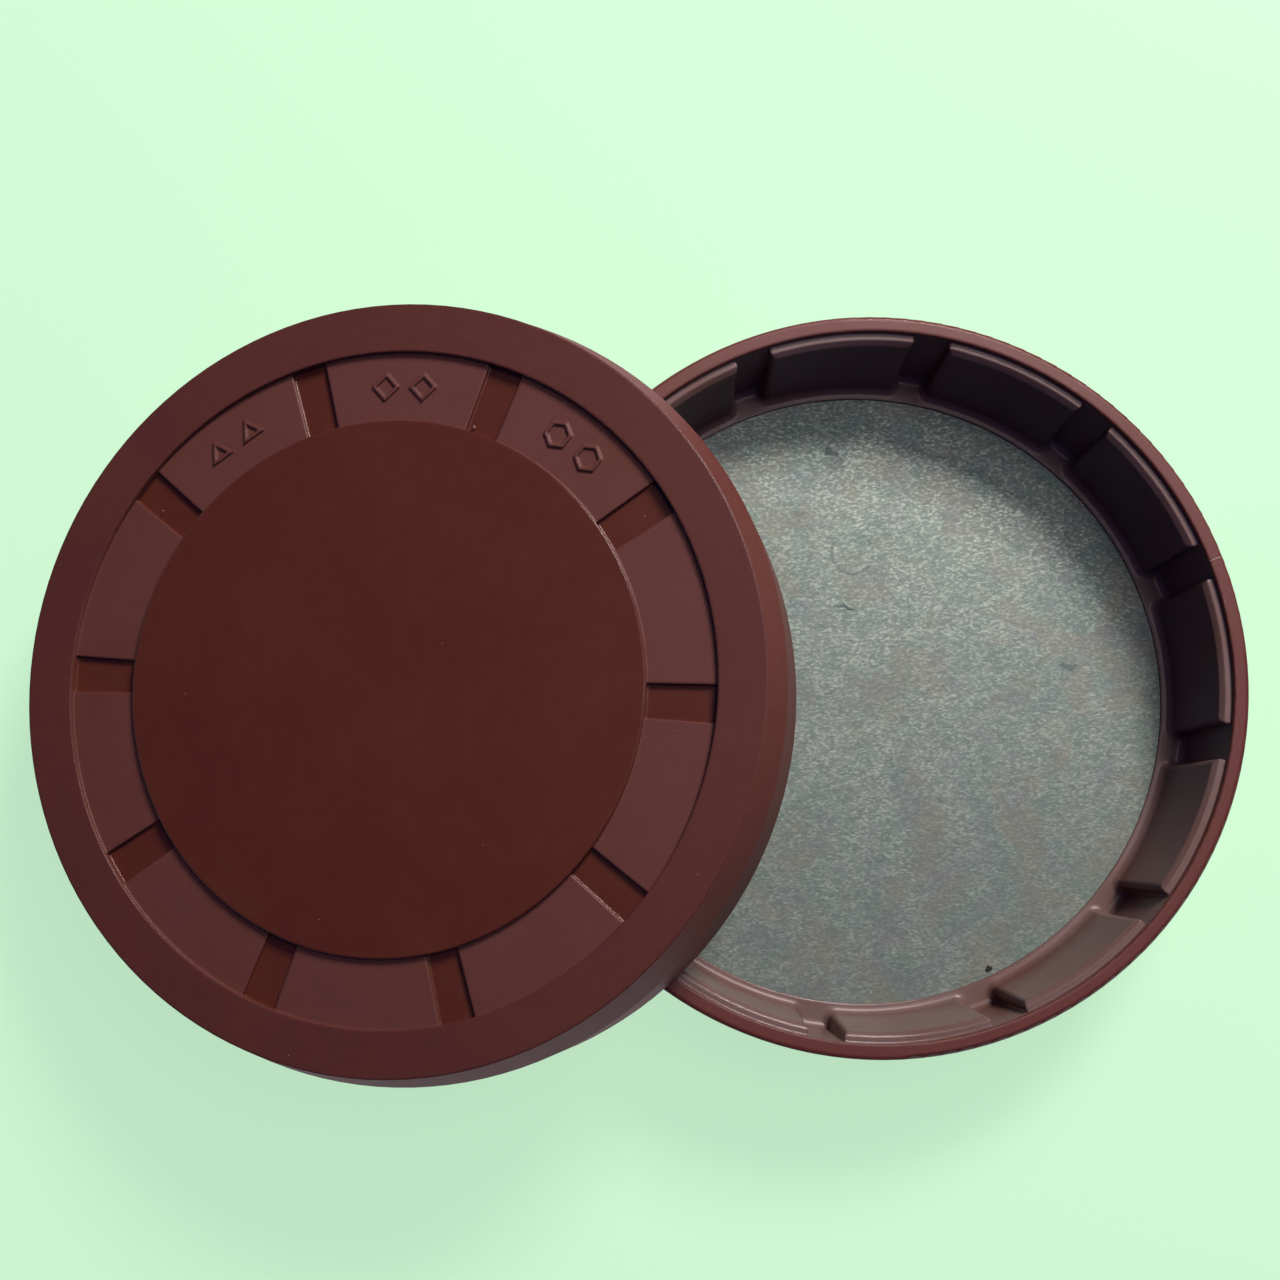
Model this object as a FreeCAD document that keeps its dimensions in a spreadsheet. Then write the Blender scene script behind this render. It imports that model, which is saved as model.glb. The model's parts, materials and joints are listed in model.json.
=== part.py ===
import FreeCAD, Part
import math
import os

import Sketcher

# Two identical rubber-covered steel end covers (press-in plugs for a housing bore).
# One lies on its outer face with its mouth up. The other, face up, leans on its rim.
#
# Each cover is drawn in its own frame: the origin at the centre of the mouth plane
# and +Z through the cover, so that its outer face lies at z = cover_width.
# In the frame of the whole part, z = 0 is the surface that both covers touch, and
# the origin is the centre of the lower cover's outer face.

SIZES = {
    # the rubber cup, in millimetres
    "cover_width": 10.0,  # from the mouth plane to the outer face
    "outer_radius": 27.5,  # sealing wall
    "lead_in_inset": 0.95,  # bevel at the face, across
    "lead_in_height": 3.4,  # bevel at the face, along the axis
    "rim_wall": 1.15,  # wall at the mouth
    "bore_draft": 0.35,  # how far the inner wall leans in from mouth to floor
    "mouth_round": 0.3,  # outer edge of the mouth
    "mouth_inner_round": 0.12,
    "skin_thickness": 1.0,  # rubber over the outside of the steel
    "ledge_step": 0.15,  # rubber lip that laps over the edge of the steel
    "floor_round": 0.6,
    # the lugs inside the mouth
    "lug_count": 12,
    "lug_gap": 2.67,  # between two lugs, at their tops
    "lug_height": 0.85,  # proud of the inner wall
    "lug_drop": 0.45,  # below the mouth plane
    "lug_chamfer": 0.35,
    "lug_draft": 0.8,  # how far a lug leans in from top to floor
    "lug_corner_round": 0.45,
    # the steel disc
    "steel_thickness": 1.0,
    "steel_edge_break": 0.2,
    "window_inset": 0.75,  # from the foot of a lug in to the edge of the bare steel
    "steel_lap": 1.4,  # width of steel under the rubber lip
    # the outer face
    "face_rim_width": 3.28,
    "track_width": 4.82,  # ring of recessed pads between the rim and the centre disc
    "pad_depth": 0.33,
    "slot_count": 10,
    "slot_depth": 0.62,
    "slot_inner_width": 2.3,
    "slot_outer_width": 2.55,
    # raised outline marks on three of the pads
    "mark_radius": 1.0,
    "mark_stroke": 0.22,
    "mark_height": 0.12,
    "mark_spacing": 2.7,
    # how the two covers lie
    "cover_spacing": 33.4,  # between the two mouth centres, along X
    "contact_gap": 0.08,
    "leaning_turn": -6.6,  # of the leaning cover about its own axis, in degrees
    "upturned_turn": -3.35,
}

# Heights and radii that several features share, as spreadsheet expressions.
FACE_RADIUS = "dims.outer_radius - dims.lead_in_inset"
MOUTH_RADIUS = "dims.outer_radius - dims.rim_wall"
EMBED_RADIUS = "dims.outer_radius - dims.rim_wall / 2"
LUG_TOP_RADIUS = MOUTH_RADIUS + " - dims.lug_height"
LUG_FOOT_RADIUS = LUG_TOP_RADIUS + " - dims.lug_draft"
GAP_ANGLE = f"2 * asin(dims.lug_gap / 2 / ({LUG_TOP_RADIUS}))"
LUG_ANGLE = f"360 deg / dims.lug_count - {GAP_ANGLE}"
WINDOW_RADIUS = LUG_FOOT_RADIUS + " - dims.window_inset"
STEEL_RADIUS = WINDOW_RADIUS + " + dims.steel_lap"
STEEL_TOP = "dims.cover_width - dims.skin_thickness"
FLOOR_HEIGHT = STEEL_TOP + " - dims.steel_thickness"
LEDGE_HEIGHT = FLOOR_HEIGHT + " - dims.ledge_step"
TRACK_OUTER = FACE_RADIUS + " - dims.face_rim_width"
TRACK_INNER = TRACK_OUTER + " - dims.track_width"
PAD_HEIGHT = "dims.cover_width - dims.pad_depth"

ORIGIN_POINT = (-1, 1)  # how a sketch names its own origin
EDGE_MATCH = 0.02


def make_sheet(doc):
    sheet = doc.addObject("Spreadsheet::Sheet", "dims")
    for row, (alias, value) in enumerate(SIZES.items(), start=1):
        sheet.set(f"A{row}", alias)
        sheet.set(f"B{row}", str(value))
        sheet.setAlias(f"B{row}", alias)
    doc.recompute()
    return sheet


def new_body(doc, label):
    body = doc.addObject("PartDesign::Body", label)
    body.Label = label
    return body


def origin_feature(body, role):
    return next(f for f in body.Origin.OriginFeatures if f.Role == role)


def new_sketch(body, name, plane, height=None):
    sketch = body.newObject("Sketcher::SketchObject", name)
    sketch.AttachmentSupport = [(origin_feature(body, plane), "")]
    sketch.MapMode = "FlatFace"
    if height is not None:
        sketch.setExpression("AttachmentOffset.Base.z", height)
    return sketch


def bind(sketch, constraint, expression):
    index = sketch.addConstraint(constraint)
    sketch.setExpression(f"Constraints[{index}]", expression)


def place_point(sketch, line, end, across, up):
    for kind, size, axis in (("X", across, -2), ("Y", up, -1)):
        if size == "0":
            sketch.addConstraint(Sketcher.Constraint("PointOnObject", line, end, axis))
        else:
            rule = Sketcher.Constraint(f"Distance{kind}", *ORIGIN_POINT, line, end, 1.0)
            bind(sketch, rule, size)


def draw_outline(sketch, points):
    """A closed outline of straight lines through points given as expressions."""
    rough = FreeCAD.Vector(SIZES["outer_radius"], SIZES["cover_width"], 0)
    corners = []
    for k in range(len(points)):
        turn = 2 * math.pi * k / len(points)
        corners.append(rough + FreeCAD.Vector(math.cos(turn), math.sin(turn), 0) * rough.y)
    lines = []
    for k, corner in enumerate(corners):
        side = Part.LineSegment(corner, corners[(k + 1) % len(corners)])
        lines.append(sketch.addGeometry(side, False))
    for k, line in enumerate(lines):
        after = lines[(k + 1) % len(lines)]
        sketch.addConstraint(Sketcher.Constraint("Coincident", line, 2, after, 1))
    for line, (across, up) in zip(lines, points):
        place_point(sketch, line, 1, across, up)


def revolve(body, name, sketch, angle=None):
    feature = body.newObject("PartDesign::Revolution", name)
    feature.Profile = sketch
    feature.ReferenceAxis = (sketch, ["V_Axis"])
    feature.Angle = 360
    if angle is not None:
        feature.Midplane = True
        feature.setExpression("Angle", angle)
    return feature


def repeat_round_axis(body, name, feature, count):
    pattern = body.newObject("PartDesign::PolarPattern", name)
    pattern.Originals = [feature]
    pattern.Axis = (origin_feature(body, "Z_Axis"), [""])
    pattern.Angle = 360
    pattern.setExpression("Occurrences", count)
    body.Tip = pattern
    return pattern


def size(sheet, expression):
    """The number that a sum of sheet values comes to."""
    total = 0.0
    for term in expression.replace(" - ", " + -").split(" + "):
        sign = -1.0 if term.startswith("-") else 1.0
        alias, _, divisor = term.lstrip("-").partition(" / ")
        total += sign * float(getattr(sheet, alias.split(".")[1])) / float(divisor or 1)
    return total


def round_edges(doc, body, name, base, chosen, radius):
    """Rounds the chosen edges, a little less where the full radius can't close between its neighbours."""
    names = [f"Edge{k}" for k, edge in enumerate(base.Shape.Edges, start=1) if chosen(edge)]
    if not names:
        raise RuntimeError(f"{body.Label}: no edges found for {name}")
    fillet = body.newObject("PartDesign::Fillet", name)
    fillet.Base = (base, names)
    for share in (1, 0.95, 0.9, 0.85, 0.8, 0.7):
        fillet.setExpression("Radius", f"{share} * {radius}")
        doc.recompute()
        if fillet.isValid() and fillet.Shape.isValid():
            return fillet
    raise RuntimeError(f"{body.Label}: {name} can't be rounded")


def radius_of(point):
    return math.hypot(point.x, point.y)


def lies_on_circle(edge, radius, height):
    return all(
        abs(vertex.Z - height) < EDGE_MATCH and abs(radius_of(vertex.Point) - radius) < EDGE_MATCH
        for vertex in edge.Vertexes
    )


def make_cup(doc, sheet, body):
    """The cup of rubber: a turned section with a seat for the steel, and the ring of lugs."""
    section = new_sketch(body, "cup_section", "XZ_Plane")
    steel_break = STEEL_RADIUS + " - dims.steel_edge_break"
    draw_outline(
        section,
        [
            ("0", "dims.cover_width"),
            (FACE_RADIUS, "dims.cover_width"),
            ("dims.outer_radius", "dims.cover_width - dims.lead_in_height"),
            ("dims.outer_radius", "0"),
            (MOUTH_RADIUS, "0"),
            (MOUTH_RADIUS + " - dims.bore_draft", LEDGE_HEIGHT),
            (WINDOW_RADIUS, LEDGE_HEIGHT),
            (WINDOW_RADIUS, FLOOR_HEIGHT),
            (steel_break, FLOOR_HEIGHT),
            (STEEL_RADIUS, FLOOR_HEIGHT + " + dims.steel_edge_break"),
            (STEEL_RADIUS, STEEL_TOP + " - dims.steel_edge_break"),
            (steel_break, STEEL_TOP),
            ("0", STEEL_TOP),
        ],
    )
    revolve(body, "cup", section)
    lug_section = new_sketch(body, "lug_section", "XZ_Plane")
    draw_outline(
        lug_section,
        [
            (LUG_TOP_RADIUS + " + dims.lug_chamfer", "dims.lug_drop"),
            (LUG_TOP_RADIUS, "dims.lug_drop + dims.lug_chamfer"),
            (LUG_FOOT_RADIUS, LEDGE_HEIGHT),
            (EMBED_RADIUS, LEDGE_HEIGHT),
            (EMBED_RADIUS, "dims.lug_drop"),
        ],
    )
    lug = revolve(body, "lug", lug_section, LUG_ANGLE)
    lugs = repeat_round_axis(body, "lugs", lug, "dims.lug_count")
    doc.recompute()

    ledge = size(sheet, LEDGE_HEIGHT)
    foot = size(sheet, LUG_FOOT_RADIUS)
    wall = size(sheet, MOUTH_RADIUS + " - dims.bore_draft")
    outer = size(sheet, "dims.outer_radius")
    bore = size(sheet, MOUTH_RADIUS)

    def is_lug_corner(edge):
        heights = sorted(vertex.Z for vertex in edge.Vertexes)
        radii = [radius_of(vertex.Point) for vertex in edge.Vertexes]
        if len(heights) != 2 or abs(heights[1] - ledge) > EDGE_MATCH:
            return False
        return heights[0] < ledge / 2 and min(radii) < foot + EDGE_MATCH

    def is_floor_edge(edge):
        flat = all(abs(vertex.Z - ledge) < EDGE_MATCH for vertex in edge.Vertexes)
        centre = edge.valueAt((edge.FirstParameter + edge.LastParameter) / 2)
        return flat and foot - EDGE_MATCH < radius_of(centre) < wall + EDGE_MATCH

    def is_outer_mouth_edge(edge):
        return lies_on_circle(edge, outer, 0)

    def is_inner_mouth_edge(edge):
        return lies_on_circle(edge, bore, 0)

    base = lugs
    for name, chosen, limit in (
        ("lug_corner_round", is_lug_corner, "0.6 * dims.lug_height"),
        ("floor_round", is_floor_edge, "0.9 * dims.window_inset"),
        ("mouth_round", is_outer_mouth_edge, "0.5 * dims.rim_wall"),
        ("mouth_inner_round", is_inner_mouth_edge, "0.4 * dims.lug_drop"),
    ):
        base = round_edges(doc, body, name, base, chosen, f"min(dims.{name}; {limit})")


def cut_down(body, name, sketch, depth):
    """A pocket from the outer face down into the rubber."""
    pocket = body.newObject("PartDesign::Pocket", name)
    pocket.Profile = sketch
    pocket.setExpression("Length", depth)
    return pocket


def make_track(body):
    """The ring of shallow pads between the face's rim and its centre disc."""
    sketch = new_sketch(body, "track_outline", "XY_Plane", "dims.cover_width")
    for index, radius in enumerate((TRACK_OUTER, TRACK_INNER)):
        rough = SIZES["outer_radius"] * (1 - 0.3 * (index + 0.5))
        circle = Part.Circle(FreeCAD.Vector(), FreeCAD.Vector(0, 0, 1), rough)
        sketch.addGeometry(circle, False)
        sketch.addConstraint(Sketcher.Constraint("Coincident", index, 3, *ORIGIN_POINT))
        bind(sketch, Sketcher.Constraint("Radius", index, rough), radius)
    cut_down(body, "track", sketch, "dims.pad_depth")


def make_slots(sheet, body):
    """The radial slots that part one pad from the next."""
    sketch = new_sketch(body, "slot_outline", "XY_Plane", "dims.cover_width")
    ends = []
    for radius, width in ((TRACK_INNER, "slot_inner_width"), (TRACK_OUTER, "slot_outer_width")):
        reach = size(sheet, radius)
        half = math.asin(getattr(sheet, width) / 2 / reach)
        circle = Part.Circle(FreeCAD.Vector(), FreeCAD.Vector(0, 0, 1), reach)
        arc = sketch.addGeometry(Part.ArcOfCircle(circle, -half, half), False)
        sketch.addConstraint(Sketcher.Constraint("Coincident", arc, 3, *ORIGIN_POINT))
        bind(sketch, Sketcher.Constraint("Radius", arc, reach), radius)
        ends.append([FreeCAD.Vector(reach * math.cos(a), reach * math.sin(a), 0) for a in (-half, half)])
    for end in (1, 2):
        side = Part.LineSegment(ends[0][end - 1], ends[1][end - 1])
        line = sketch.addGeometry(side, False)
        sketch.addConstraint(Sketcher.Constraint("Coincident", line, 1, 0, end))
        sketch.addConstraint(Sketcher.Constraint("Coincident", line, 2, 1, end))
    for arc, width in ((0, "slot_inner_width"), (1, "slot_outer_width")):
        low = Sketcher.Constraint("DistanceY", arc, 1, *ORIGIN_POINT, 1.0)
        high = Sketcher.Constraint("DistanceY", *ORIGIN_POINT, arc, 2, 1.0)
        bind(sketch, low, f"dims.{width} / 2")
        bind(sketch, high, f"dims.{width} / 2")
    slot = cut_down(body, "slot", sketch, "dims.slot_depth")
    repeat_round_axis(body, "slots", slot, "dims.slot_count")


def polygon(sides, turn, aside, radius):
    """Corner points of a regular polygon on the pad in direction turn, aside of its middle."""
    middle = f"({TRACK_OUTER} - dims.track_width / 2)"
    shift = f"{aside} * dims.mark_spacing / 2"
    points = []
    for corner in range(sides):
        way = f"({turn} + {corner} * 360 deg / {sides})"
        across = f"{middle} * cos({turn}) - {shift} * sin({turn}) + ({radius}) * cos{way}"
        up = f"{middle} * sin({turn}) + {shift} * cos({turn}) + ({radius}) * sin{way}"
        points.append((across, up))
    return points


def make_marks(body):
    """Outline marks, two on each of three pads: hexagons, diamonds and triangles."""
    sketch = new_sketch(body, "mark_outlines", "XY_Plane", PAD_HEIGHT)
    for pad, sides in ((1, 6), (2, 4), (3, 3)):
        turn = f"({pad} + 0.5) * 360 deg / dims.slot_count"
        inner = f"dims.mark_radius - dims.mark_stroke / cos(180 deg / {sides})"
        for aside in (-1, 1):
            draw_outline(sketch, polygon(sides, turn, aside, "dims.mark_radius"))
            draw_outline(sketch, polygon(sides, turn, aside, inner))
    marks = body.newObject("PartDesign::Pad", "marks")
    marks.Profile = sketch
    marks.setExpression("Length", "dims.mark_height")


def make_rubber_body(doc, sheet, label):
    body = new_body(doc, label)
    make_cup(doc, sheet, body)
    make_track(body)
    make_slots(sheet, body)
    doc.recompute()
    make_marks(body)
    return body


def make_steel_insert(doc, label):
    """The stamped steel disc: its edge is held under the rubber lip."""
    body = new_body(doc, label)
    section = new_sketch(body, "disc_section", "XZ_Plane")
    broken = STEEL_RADIUS + " - dims.steel_edge_break"
    draw_outline(
        section,
        [
            ("0", FLOOR_HEIGHT),
            (broken, FLOOR_HEIGHT),
            (STEEL_RADIUS, FLOOR_HEIGHT + " + dims.steel_edge_break"),
            (STEEL_RADIUS, STEEL_TOP + " - dims.steel_edge_break"),
            (broken, STEEL_TOP),
            ("0", STEEL_TOP),
        ],
    )
    revolve(body, "disc", section)
    return body


def leaning_tilt(sheet):
    """The slope at which the upper mouth rim rests on the lower one, in radians.

    Seen from above, the two rims cross twice. The first point that touches is where
    the outside of the lower rim crosses the inside of the leaning one.
    """
    bore = size(sheet, MOUTH_RADIUS)
    flat_edge = size(sheet, "dims.outer_radius - dims.mouth_round")
    spacing = float(sheet.cover_spacing)
    target = size(sheet, "dims.cover_width + dims.contact_gap")
    low, high = 0.0, math.pi / 4
    for _ in range(60):
        tilt = (low + high) / 2
        # x on the lower rim where (x + spacing) / cos(tilt) and y meet the leaning bore
        square = 1 / math.cos(tilt) ** 2
        a = square - 1
        b = 2 * spacing * square
        c = spacing**2 * square + flat_edge**2 - bore**2
        x = (-b + math.sqrt(b * b - 4 * a * c)) / (2 * a) if a > 1e-9 else -c / b
        height = (x + spacing) * math.tan(tilt) + lowest_rise(sheet, tilt)
        if height < target:
            low = tilt
        else:
            high = tilt
    return tilt


def lowest_rise(sheet, tilt):
    """How high the mouth centre stands when the rim's rounded low edge touches z = 0."""
    flat_edge = size(sheet, "dims.outer_radius - dims.mouth_round")
    return flat_edge * math.sin(tilt) + float(sheet.mouth_round) * (1 - math.cos(tilt))


def upturned_placement(sheet):
    flip = FreeCAD.Rotation(FreeCAD.Vector(1, 0, 0), 180)
    turn = FreeCAD.Rotation(FreeCAD.Vector(0, 0, 1), float(sheet.upturned_turn))
    return FreeCAD.Placement(FreeCAD.Vector(0, 0, float(sheet.cover_width)), flip.multiply(turn))


def leaning_placement(sheet):
    tilt = leaning_tilt(sheet)
    lean = FreeCAD.Rotation(FreeCAD.Vector(0, 1, 0), -math.degrees(tilt))
    turn = FreeCAD.Rotation(FreeCAD.Vector(0, 0, 1), float(sheet.leaning_turn))
    place = FreeCAD.Vector(-float(sheet.cover_spacing), 0, lowest_rise(sheet, tilt))
    print(f"leaning cover: tilt {math.degrees(tilt):.3f} degrees, mouth centre z {place.z:.4f} mm")
    return FreeCAD.Placement(place, lean.multiply(turn))


def check(doc, bodies):
    for item in doc.Objects:
        if {"Invalid", "Error"} & set(item.State):
            raise RuntimeError(f"{item.Label} did not recompute: {item.State}")
    for body in bodies:
        shape = body.Shape
        if shape.isNull() or not shape.isValid() or len(shape.Solids) != 1:
            raise RuntimeError(f"{body.Label} isn't one valid solid")
        print(f"{body.Label}: {shape.Volume:.2f} mm3")


def main():
    doc = FreeCAD.newDocument("end_covers")
    sheet = make_sheet(doc)
    bodies = []
    for side, placement in (
        ("upturned", upturned_placement(sheet)),
        ("leaning", leaning_placement(sheet)),
    ):
        rubber = make_rubber_body(doc, sheet, f"{side}_rubber_body")
        steel = make_steel_insert(doc, f"{side}_steel_insert")
        for body in (rubber, steel):
            body.Placement = placement
            bodies.append(body)
    doc.recompute()
    check(doc, bodies)
    os.makedirs("parts", exist_ok=True)
    for body in bodies:
        body.Shape.exportStep(f"parts/{body.Label}.step")


main()
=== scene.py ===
import json
import math

import bmesh
import bpy
from mathutils import Matrix, Vector


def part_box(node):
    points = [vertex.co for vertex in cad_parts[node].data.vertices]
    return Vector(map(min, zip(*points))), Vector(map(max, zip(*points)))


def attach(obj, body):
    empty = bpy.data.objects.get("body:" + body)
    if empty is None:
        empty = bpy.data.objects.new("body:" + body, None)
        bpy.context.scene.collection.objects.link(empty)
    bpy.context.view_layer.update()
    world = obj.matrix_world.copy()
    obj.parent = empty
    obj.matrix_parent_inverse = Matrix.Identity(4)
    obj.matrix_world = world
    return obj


# Looks for a pair of rubber-covered steel end covers. Lengths named _MM are in
# millimetres; everything else is in metres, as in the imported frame.

MM = 0.001

# sizes on a cover in its own frame: radii of the face's centre disc, of the pads' track and of the
# whole face, and depths below the face of the pads and of where the inside starts
DISC_RADIUS_MM = 18.45
TRACK_RADIUS_MM = 23.27
FACE_RADIUS_MM = 26.55
PAD_DEPTH_MM = 0.33
INSIDE_DEPTH_MM = 1.6

# each zone of the rubber: its colour and roughness
RUBBER_RIM = ((0.093, 0.021, 0.016), 0.56)
RUBBER_POLISHED = ((0.088, 0.017, 0.008), 0.42)
RUBBER_PAD = ((0.118, 0.034, 0.026), 0.62)
RUBBER_WALL = ((0.115, 0.024, 0.018), 0.50)
RUBBER_INSIDE = ((0.140, 0.083, 0.075), 0.34)
RUBBER_CLOUD = (0.104, 0.027, 0.010)
RUBBER_SPECK = (0.24, 0.13, 0.11)
RUBBER_SPECULAR = 0.4
RUBBER_SPECULAR_TINT = (1.0, 0.84, 0.86, 1)
SOFT_EDGE_MM = 0.24

# the steel's finish: the tints of its grain and clouds, and the height of its bare side
STEEL_DARK = (0.158, 0.181, 0.164)
STEEL_LIGHT = (0.222, 0.250, 0.220)
STEEL_SPARK = (0.290, 0.320, 0.277)
STEEL_GREEN = (0.125, 0.178, 0.160)
STEEL_WARM = (0.205, 0.190, 0.158)
STEEL_VIOLET = (0.175, 0.178, 0.190)
STEEL_STAIN = (0.055, 0.065, 0.070)
STEEL_HEIGHT_MM = -2.0
STEEL_METALLIC = 0.95

# stains on the steel: across and along, half length and half width, turn in degrees, and strength
STAINS = [
    (1.35, 19.7, 0.30, 0.40, 0, 0.60),
    (1.00, 18.6, 0.50, 0.60, 0, 0.30),
    (4.10, 14.9, 0.60, 0.12, 10, 0.35),
    (0.99, 7.3, 0.60, 0.14, 15, 0.75),
    (-16.70, 1.8, 0.55, 0.28, 10, 0.45),
    (-10.79, -3.5, 0.25, 0.20, 0, 0.35),
    (-5.88, -8.4, 0.20, 0.20, 0, 0.35),
]
# a faint broken ring on the steel: its middle and radius
RING_MM = (0.06, 11.56)
RING_RADIUS_MM = 1.65

# what moulding left behind: the knit line's place on the mouth-up cover's rim, a crumb on its
# floor, and flakes on the leaning cover's face (angle, radius, depth below the face, and size)
KNIT_DEGREES = 18.1
KNIT_INSET_MM = 0.6
KNIT_SIZE_MM = (1.0, 0.10, 0.05)
CRUMB_MM = (9.0, -21.6, 2.1)
CRUMB_SIZE_MM = (0.55, 0.38, 0.22)
FLAKES = [
    (67.5, 18.9, 0.45, 0.22),
    (70.8, 19.6, 0.50, 0.16),
    (139, 21.1, 0.33, 0.14),
    (214, 21.6, 0.50, 0.18),
    (-12, 20.6, 0.33, 0.12),
]
PALE_RUBBER = (0.30, 0.17, 0.15)
DARK_RUBBER = (0.02, 0.014, 0.012)

# the backdrop's colour, how far out the floor starts and ends fading into it, and the floor's
# own colour and glow, first as the camera sees them and then as they light the covers
BACKDROP = (0.63, 0.94, 0.66)
FLOOR_FADE = (0.12, 0.50)
FLOOR_SEEN = (0.17, 0.255, 0.168)
FLOOR_SEEN_GLOW = (0.487, 0.735, 0.505)
FLOOR_BOUNCE = (0.26, 0.24, 0.24)
FLOOR_BOUNCE_GLOW = (0.46, 0.42, 0.42)

# which sockets of Blender's Mix node take and give colours
MIX_SHARE, MIX_FIRST, MIX_SECOND, MIX_RESULT = 0, 6, 7, 2

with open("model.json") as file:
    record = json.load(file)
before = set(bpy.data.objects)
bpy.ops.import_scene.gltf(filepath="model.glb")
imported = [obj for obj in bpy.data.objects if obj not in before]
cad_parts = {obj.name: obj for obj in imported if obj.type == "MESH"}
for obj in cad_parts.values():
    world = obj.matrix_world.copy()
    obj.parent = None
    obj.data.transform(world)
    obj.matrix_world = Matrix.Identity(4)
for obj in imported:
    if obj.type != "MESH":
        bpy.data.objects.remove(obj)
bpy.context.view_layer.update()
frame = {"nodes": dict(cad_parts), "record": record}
width_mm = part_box("upturned_rubber_body")[1][2] / MM
mounts = {mount["name"]: mount for mount in frame["record"]["mounts"]}
scene = bpy.context.scene


class Tree:
    """Adds shader nodes to one material and joins them."""

    def __init__(self, name):
        self.material = bpy.data.materials.new(name)
        self.material.use_nodes = True
        self.nodes = self.material.node_tree.nodes
        self.links = self.material.node_tree.links
        self.surface = self.nodes["Principled BSDF"]

    def put(self, socket, value):
        if isinstance(value, bpy.types.NodeSocket):
            self.links.new(value, socket)
        elif isinstance(value, tuple) and len(value) == 3 and len(socket.default_value) == 4:
            socket.default_value = (*value, 1)
        else:
            socket.default_value = value

    def add(self, kind, inputs=None, **settings):
        node = self.nodes.new("ShaderNode" + kind)
        for name, value in settings.items():
            setattr(node, name, value)
        for name, value in (inputs or {}).items():
            self.put(node.inputs[name], value)
        return node

    def math(self, operation, *values, clamp=False):
        node = self.add("Math", dict(enumerate(values)), operation=operation)
        node.use_clamp = clamp
        return node.outputs[0]

    def ramp(self, value, start, end, low=0.0, high=1.0):
        """A smooth step from low to high while value goes from start to end."""
        ends = {"From Min": start, "From Max": end, "To Min": low, "To Max": high}
        node = self.add("MapRange", {"Value": value, **ends}, interpolation_type="SMOOTHSTEP")
        return node.outputs["Result"]

    def blend(self, share, first, second, how="MIX"):
        node = self.add("Mix", data_type="RGBA", blend_type=how)
        self.put(node.inputs[MIX_SHARE], share)
        self.put(node.inputs[MIX_FIRST], first)
        self.put(node.inputs[MIX_SECOND], second)
        return node.outputs[MIX_RESULT]

    def red(self, colour):
        return self.add("SeparateColor", {"Color": colour}).outputs["Red"]

    def length(self, vector):
        return self.add("VectorMath", {0: vector}, operation="LENGTH").outputs["Value"]

    def scaled(self, vector, factor):
        settings = {0: vector, "Scale": factor}
        return self.add("VectorMath", settings, operation="SCALE").outputs["Vector"]

    def noise(self, place, per_mm, detail=2.0, rough=0.5, distortion=0.0):
        shape = {"Scale": per_mm, "Detail": detail, "Roughness": rough, "Distortion": distortion}
        return self.add("TexNoise", {"Vector": place, **shape}).outputs["Fac"]

    def spot(self, place, centre, half_size, turn):
        """How far a place is from the centre of an oval spot, where 1 is its edge."""
        shape = {"Vector": place, "Location": centre, "Rotation": (0, 0, turn), "Scale": half_size}
        return self.length(self.add("Mapping", shape, vector_type="TEXTURE").outputs["Vector"])

    def bump(self, height, depth_mm, normal=None):
        node = self.add("Bump", {"Height": height, "Distance": depth_mm * MM})
        if normal is not None:
            self.put(node.inputs["Normal"], normal)
        return node.outputs["Normal"]


def own_millimetres(tree, face):
    """Places on a cover in its own frame, in millimetres, with z up out of its outer face."""
    mount = mounts[face]
    across, _, upward = mount["axis"]
    turn = (0, math.atan2(across, upward), 0)
    mapping = tree.add(
        "Mapping",
        {
            "Vector": tree.add("TexCoord").outputs["Object"],
            "Location": Vector(mount["pos_m"]),
            "Rotation": turn,
            "Scale": (MM, MM, MM),
        },
        vector_type="TEXTURE",
    )
    return mapping.outputs["Vector"]


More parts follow.
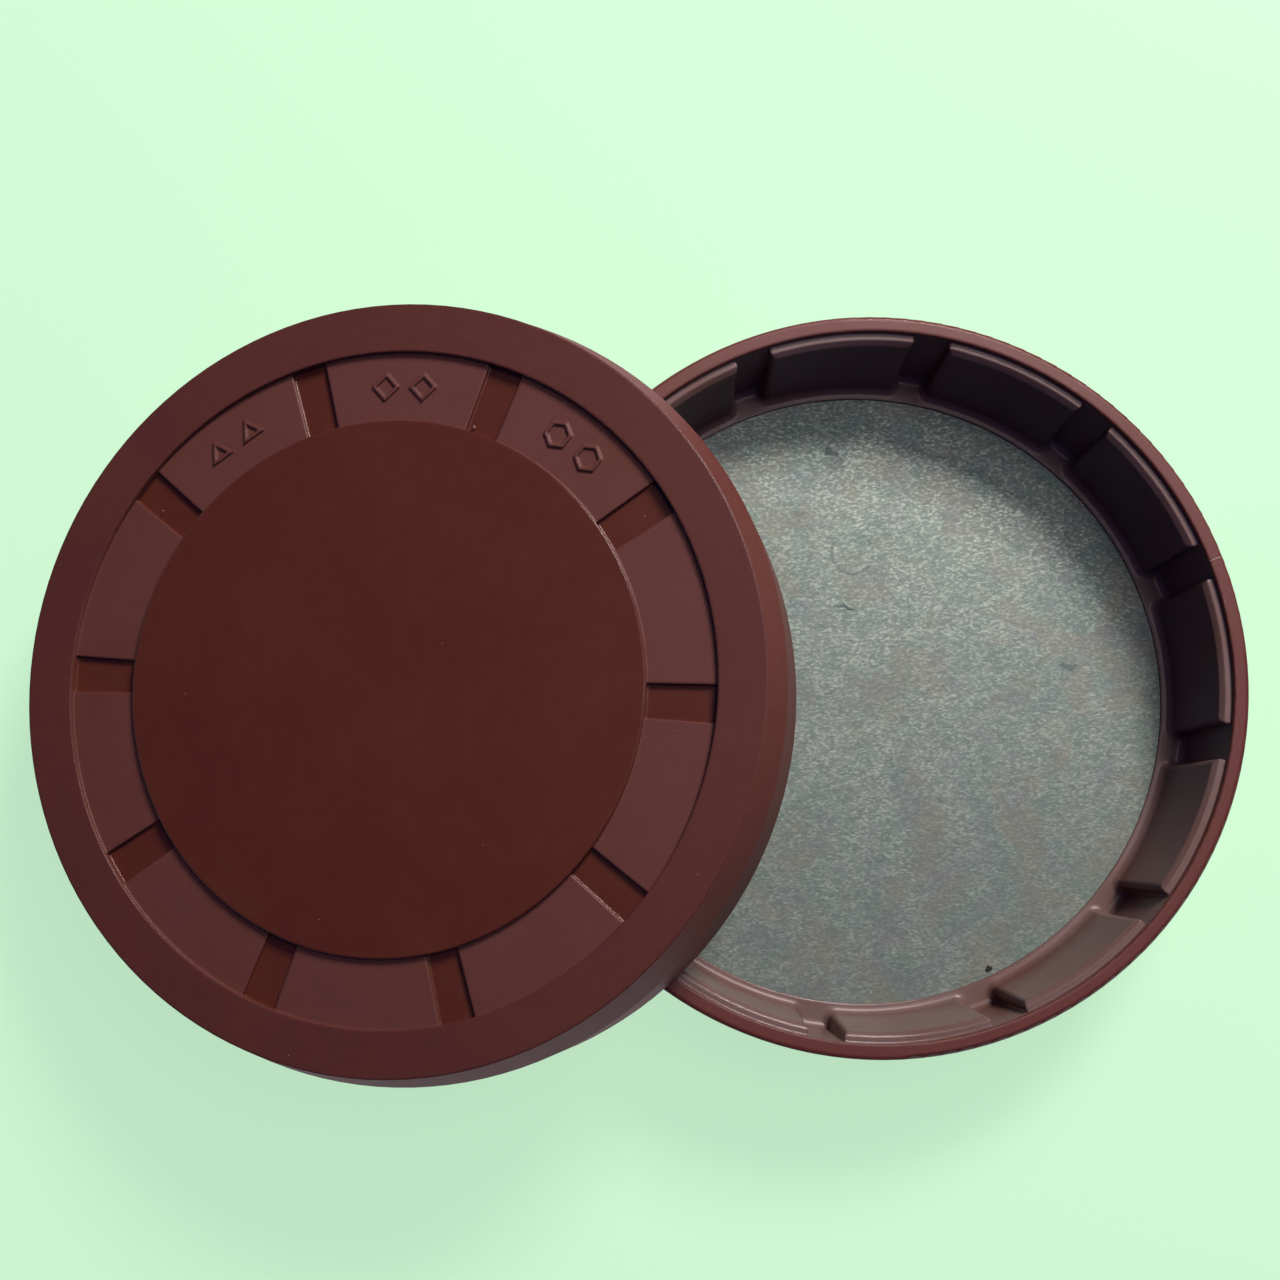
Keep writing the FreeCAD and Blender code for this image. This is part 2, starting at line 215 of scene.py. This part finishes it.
def rubber_material(name, face):
    """Moulded brown rubber: polished disc and slots, duller pads and rim, glossy inside."""
    tree = Tree(name)
    place = own_millimetres(tree, face)
    parts = tree.add("SeparateXYZ", {"Vector": place}).outputs
    flat = tree.add("CombineXYZ", {"X": parts["X"], "Y": parts["Y"]}).outputs["Vector"]
    radius = tree.length(flat)
    height = parts["Z"]

    on_disc = tree.ramp(radius, DISC_RADIUS_MM + 0.03, DISC_RADIUS_MM - 0.03)
    in_track = tree.ramp(radius, TRACK_RADIUS_MM + 0.03, TRACK_RADIUS_MM - 0.03)
    below_pads = tree.ramp(height, -PAD_DEPTH_MM - 0.06, -PAD_DEPTH_MM - 0.16)
    on_slot = tree.math("MULTIPLY", below_pads, in_track)
    polished = tree.math("MAXIMUM", on_disc, on_slot)
    on_pad = tree.math("SUBTRACT", in_track, polished, clamp=True)
    on_wall = tree.ramp(radius, FACE_RADIUS_MM - 0.05, FACE_RADIUS_MM + 0.05)
    below_face = tree.ramp(height, -INSIDE_DEPTH_MM, -INSIDE_DEPTH_MM - 0.2)
    off_wall = tree.ramp(radius, FACE_RADIUS_MM + 0.6, FACE_RADIUS_MM)
    off_rim = tree.ramp(height, 0.1 - width_mm, 0.3 - width_mm)
    inside = tree.math("MULTIPLY", tree.math("MULTIPLY", below_face, off_wall), off_rim)

    clouds = tree.noise(place, 0.11, 3.0, 0.55)
    mottle = tree.noise(place, 0.9, 4.0, 0.6)
    colour, level = RUBBER_RIM
    gloss = (level, level, level)
    zones = [
        (polished, RUBBER_POLISHED),
        (on_pad, RUBBER_PAD),
        (on_wall, RUBBER_WALL),
        (inside, RUBBER_INSIDE),
    ]
    for zone, (zone_colour, level) in zones:
        colour = tree.blend(zone, colour, zone_colour)
        gloss = tree.blend(zone, gloss, (level, level, level))
    colour = tree.blend(tree.ramp(clouds, 0.35, 0.7, 0.0, 0.4), colour, RUBBER_CLOUD)
    shade = tree.ramp(mottle, 0.25, 0.75, 0.975, 1.025)
    shade = tree.add("CombineXYZ", {"X": shade, "Y": shade, "Z": shade}).outputs["Vector"]
    colour = tree.blend(1.0, colour, shade, "MULTIPLY")

    # dust and bits of flash, in a few of the cells of a wide scatter
    cells = tree.add("TexVoronoi", {"Vector": place, "Scale": 0.42})
    chosen = tree.math("GREATER_THAN", tree.red(cells.outputs["Color"]), 0.82)
    specks = tree.math("MULTIPLY", tree.ramp(cells.outputs["Distance"], 0.035, 0.012), chosen)
    colour = tree.blend(tree.math("MULTIPLY", specks, 0.7), colour, RUBBER_SPECK)

    # edges look rounded to the light and are rubbed a little smoother
    soft_edge = tree.add("Bevel", {"Radius": SOFT_EDGE_MM * MM}, samples=6).outputs["Normal"]
    true_normal = tree.add("NewGeometry").outputs["True Normal"]
    both = {0: soft_edge, 1: true_normal}
    bend = tree.add("VectorMath", both, operation="DOT_PRODUCT").outputs["Value"]
    rough = tree.math("ADD", tree.red(gloss), tree.ramp(mottle, 0.3, 0.7, -0.02, 0.02))
    rough = tree.math("SUBTRACT", rough, tree.ramp(bend, 0.998, 0.95, 0.0, 0.20))

    # long waves of the moulded surface, and a fine grain that is fainter where it is smooth
    waves = tree.bump(tree.noise(place, 0.10, 1.0), 0.15, soft_edge)
    smooth = tree.math("MULTIPLY", tree.math("MAXIMUM", polished, inside), 0.7)
    grain = tree.noise(place, 7.0, 3.0, 0.65)
    relief = tree.math("MULTIPLY", grain, tree.math("SUBTRACT", 1.0, smooth))
    normal = tree.bump(tree.math("ADD", relief, specks), 0.012, waves)

    tree.put(tree.surface.inputs["Base Color"], colour)
    tree.put(tree.surface.inputs["Roughness"], rough)
    tree.put(tree.surface.inputs["Normal"], normal)
    tree.surface.inputs["Specular IOR Level"].default_value = RUBBER_SPECULAR
    tree.surface.inputs["Specular Tint"].default_value = RUBBER_SPECULAR_TINT
    return tree.material


def steel_material(name, face):
    """Phosphated steel sheet: a fine sparkling grain, cloudy tints, stains and a faint ring."""
    tree = Tree(name)
    place = own_millimetres(tree, face)
    wander = tree.add("TexNoise", {"Vector": place, "Scale": 0.9, "Detail": 2.0}).outputs["Color"]
    wander = tree.add("VectorMath", {0: wander, 1: (0.5, 0.5, 0.5)}, operation="SUBTRACT")
    wander = tree.scaled(wander.outputs["Vector"], 1.6)
    ragged = tree.add("VectorMath", {0: place, 1: wander}, operation="ADD").outputs["Vector"]
    along_grain = {"Vector": place, "Rotation": (0, 0, 0.25), "Scale": (1.0, 2.0, 1.0)}
    grained = tree.add("Mapping", along_grain).outputs["Vector"]
    streaks = tree.noise(grained, 1.3, 3.0, 0.6, 0.3)
    sparkle = tree.noise(grained, 3.3, 2.0, 0.5, 0.2)
    green = tree.noise(place, 0.30, 3.0, 0.6, 0.5)
    warm = tree.noise(ragged, 0.22, 2.0, 0.6, 0.3)
    violet = tree.noise(ragged, 0.37, 2.0, 0.5, 0.2)

    colour = tree.blend(tree.ramp(streaks, 0.25, 0.75), STEEL_DARK, STEEL_LIGHT)
    colour = tree.blend(tree.ramp(sparkle, 0.44, 0.72), colour, STEEL_SPARK)
    colour = tree.blend(tree.ramp(green, 0.40, 0.66, 0.0, 0.4), colour, STEEL_GREEN)
    colour = tree.blend(tree.ramp(warm, 0.46, 0.66, 0.0, 0.5), colour, STEEL_WARM)
    colour = tree.blend(tree.ramp(violet, 0.50, 0.68, 0.0, 0.35), colour, STEEL_VIOLET)
    for across, along, long, wide, turn, strength in STAINS:
        centre = (across, along, STEEL_HEIGHT_MM)
        stain = tree.spot(ragged, centre, (long, wide, 1), math.radians(turn))
        colour = tree.blend(tree.ramp(stain, 1.5, 0.6, 0.0, strength), colour, STEEL_STAIN)
    centre = (*RING_MM, STEEL_HEIGHT_MM)
    ring = tree.spot(place, centre, (RING_RADIUS_MM, RING_RADIUS_MM, 1), 0)
    off_ring = tree.math("ABSOLUTE", tree.math("SUBTRACT", ring, 1.0))
    broken = tree.ramp(warm, 0.40, 0.60, 0.15, 0.4)
    on_ring = tree.math("MULTIPLY", tree.ramp(off_ring, 0.13, 0.03), broken)
    colour = tree.blend(on_ring, colour, STEEL_STAIN)

    rough = tree.ramp(sparkle, 0.4, 0.75, 0.64, 0.52)
    relief = tree.math("ADD", streaks, tree.math("MULTIPLY", sparkle, 0.6))
    tree.put(tree.surface.inputs["Base Color"], colour)
    tree.put(tree.surface.inputs["Roughness"], rough)
    tree.put(tree.surface.inputs["Normal"], tree.bump(relief, 0.008))
    tree.surface.inputs["Metallic"].default_value = STEEL_METALLIC
    return tree.material


def dress_covers():
    for side in ("upturned", "leaning"):
        face = f"{side}_face"
        rubber = rubber_material(f"{side}_rubber", face)
        steel = steel_material(f"{side}_steel", face)
        for node, material in ((f"{side}_rubber_body", rubber), (f"{side}_steel_insert", steel)):
            slots = frame["nodes"][node].data.materials
            slots.clear()
            slots.append(material)


def plain_rubber(name, colour, roughness):
    tree = Tree(name)
    place_mm = tree.scaled(tree.add("TexCoord").outputs["Object"], 1 / MM)
    mottle = tree.noise(place_mm, 3.0, 2.0)
    dark = tuple(0.7 * part for part in colour)
    tree.put(tree.surface.inputs["Base Color"], tree.blend(mottle, dark, colour))
    tree.surface.inputs["Roughness"].default_value = roughness
    return tree.material


def add_lump(name, body, place_mm, size_mm, turn, material):
    """A small irregular lump with a rounded top, such as a crumb or a flake of flash."""
    shape = bmesh.new()
    bmesh.ops.create_icosphere(shape, subdivisions=3, radius=1.0)
    for point in shape.verts:
        x, y, z = point.co
        wave = 1 + 0.16 * math.sin(5 * x + 2 * y) + 0.12 * math.cos(6 * y - 3 * z)
        point.co = Vector(part * wave * size / 2 for part, size in zip(point.co, size_mm))
    move = Matrix.Translation(Vector(place_mm) * MM)
    shape.transform(move @ Matrix.Rotation(turn, 4, "Z") @ Matrix.Scale(MM, 4))
    mesh = bpy.data.meshes.new(name)
    shape.to_mesh(mesh)
    shape.free()
    for side in mesh.polygons:
        side.use_smooth = True
    mesh.materials.append(material)
    lump = bpy.data.objects.new(name, mesh)
    scene.collection.objects.link(lump)
    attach(lump, body)


def face_place(face, across_mm, along_mm, sunk_mm):
    """A place on a cover's face, in the frame's millimetres, from its own frame."""
    mount = mounts[face]
    across, _, upward = mount["axis"]
    lean = Matrix.Rotation(math.atan2(across, upward), 3, "Y")
    return Vector(mount["pos_m"]) / MM + lean @ Vector((across_mm, along_mm, -sunk_mm))


def add_moulding_marks():
    """A crumb, flakes of flash and the knit line that moulding leaves behind."""
    pale = plain_rubber("flash", PALE_RUBBER, 0.5)
    dark = plain_rubber("crumb", DARK_RUBBER, 0.6)
    knit = math.radians(KNIT_DEGREES)
    middle_mm = mounts["upturned_seal"]["dims"]["r_mm"] - KNIT_INSET_MM
    place = (middle_mm * math.cos(knit), middle_mm * math.sin(knit), width_mm)
    add_lump("knit_line", "upturned_cover", place, KNIT_SIZE_MM, knit, pale)
    add_lump("floor_crumb", "upturned_cover", CRUMB_MM, CRUMB_SIZE_MM, 0.4, dark)
    for number, (angle, radius_mm, sunk_mm, long_mm) in enumerate(FLAKES, start=1):
        turn = math.radians(angle)
        across_mm, along_mm = radius_mm * math.cos(turn), radius_mm * math.sin(turn)
        place = face_place("leaning_face", across_mm, along_mm, sunk_mm)
        size_mm = (long_mm, long_mm * 0.7, long_mm * 0.5)
        add_lump(f"flash_flake_{number}", "leaning_cover", place, size_mm, turn, pale)


def add_camera():
    """Looks down on both covers from a little below their middle."""
    place = Vector((-22.4, -15.6, 115.1)) * MM
    aim = Vector((-17.7, -8.8, 0.0)) * MM
    turn = math.radians(2.42)
    back = (place - aim).normalized()
    right = Vector((math.sin(turn), math.cos(turn), 0)).cross(back).normalized()
    up = back.cross(right)
    data = bpy.data.cameras.new("camera")
    data.sensor_width = 36
    data.lens = 40.93
    data.shift_y = 0.1406
    data.clip_start = 0.001
    camera = bpy.data.objects.new("camera", data)
    axes = Matrix((right, up, back)).transposed()
    camera.matrix_world = Matrix.Translation(place) @ axes.to_4x4()
    scene.collection.objects.link(camera)
    scene.camera = camera


def add_floor():
    """A plain sheet that glows, so that shadows on it stay faint.

    The camera sees it pale green, and far out the same as the backdrop. The light that it throws
    on the covers is neutral.
    """
    reach = 3.0
    corners = [(-reach, -reach, 0), (reach, -reach, 0), (reach, reach, 0), (-reach, reach, 0)]
    mesh = bpy.data.meshes.new("floor")
    mesh.from_pydata(corners, [], [(0, 1, 2, 3)])
    floor = bpy.data.objects.new("floor", mesh)
    floor.location.z = -0.02 * MM
    scene.collection.objects.link(floor)
    tree = Tree("pale_floor")
    seen = tree.add("LightPath").outputs["Is Camera Ray"]
    away = tree.length(tree.add("TexCoord").outputs["Object"])
    far = tree.ramp(away, *FLOOR_FADE)
    near_colour = tree.blend(seen, FLOOR_BOUNCE, FLOOR_SEEN)
    tree.put(tree.surface.inputs["Base Color"], tree.blend(far, near_colour, (0.0, 0.0, 0.0)))
    tree.surface.inputs["Roughness"].default_value = 1.0
    tree.surface.inputs["Specular IOR Level"].default_value = 0.0
    glow = tree.blend(far, FLOOR_SEEN_GLOW, BACKDROP)
    tree.put(tree.surface.inputs["Emission Color"], tree.blend(seen, FLOOR_BOUNCE_GLOW, glow))
    tree.surface.inputs["Emission Strength"].default_value = 1.0
    mesh.materials.append(tree.material)


def add_lamp(name, azimuth, elevation, distance, size, watts, colour):
    """A square soft light that faces the covers; azimuth runs from +X towards +Y."""
    aim = Vector((-15, 0, 8)) * MM
    flat = math.cos(math.radians(elevation))
    turn = math.radians(azimuth)
    way = Vector((math.cos(turn) * flat, math.sin(turn) * flat, math.sin(math.radians(elevation))))
    data = bpy.data.lights.new(name, "AREA")
    data.energy = watts
    data.size = size
    data.color = colour
    lamp = bpy.data.objects.new(name, data)
    lamp.location = aim + way * distance
    lamp.rotation_euler = way.to_track_quat("Z", "Y").to_euler()
    scene.collection.objects.link(lamp)


def light_scene():
    """The backdrop, the surroundings and two soft lamps: one at the upper right, a faint one above.

    The camera sees the plain backdrop. The covers are lit by, and reflect, a grey horizon under a
    dim blue ceiling instead.
    """
    world = bpy.data.worlds.new("world")
    world.use_nodes = True
    nodes = world.node_tree.nodes
    links = world.node_tree.links
    way = nodes.new("ShaderNodeSeparateXYZ")
    links.new(nodes.new("ShaderNodeTexCoord").outputs["Generated"], way.inputs[0])
    sky = nodes.new("ShaderNodeValToRGB")
    links.new(way.outputs["Z"], sky.inputs["Fac"])
    low, high = sky.color_ramp.elements
    low.position, low.color = 0.02, (0.19, 0.19, 0.20, 1)
    high.position, high.color = 0.16, (0.012, 0.020, 0.13, 1)
    seen = nodes.new("ShaderNodeMix")
    seen.data_type = "RGBA"
    seen.inputs[MIX_SECOND].default_value = (*BACKDROP, 1)
    is_camera = nodes.new("ShaderNodeLightPath").outputs["Is Camera Ray"]
    links.new(is_camera, seen.inputs[MIX_SHARE])
    links.new(sky.outputs["Color"], seen.inputs[MIX_FIRST])
    links.new(seen.outputs[MIX_RESULT], nodes["Background"].inputs["Color"])
    scene.world = world
    scene.view_settings.view_transform = "Standard"
    add_lamp(
        "key", azimuth=60, elevation=41, distance=0.34, size=0.105, watts=1.33,
        colour=(1.0, 0.96, 0.92),
    )
    add_lamp(
        "top", azimuth=35, elevation=72, distance=0.40, size=0.20, watts=0.36,
        colour=(1.0, 0.98, 0.93),
    )


dress_covers()
add_moulding_marks()
add_camera()
add_floor()
light_scene()
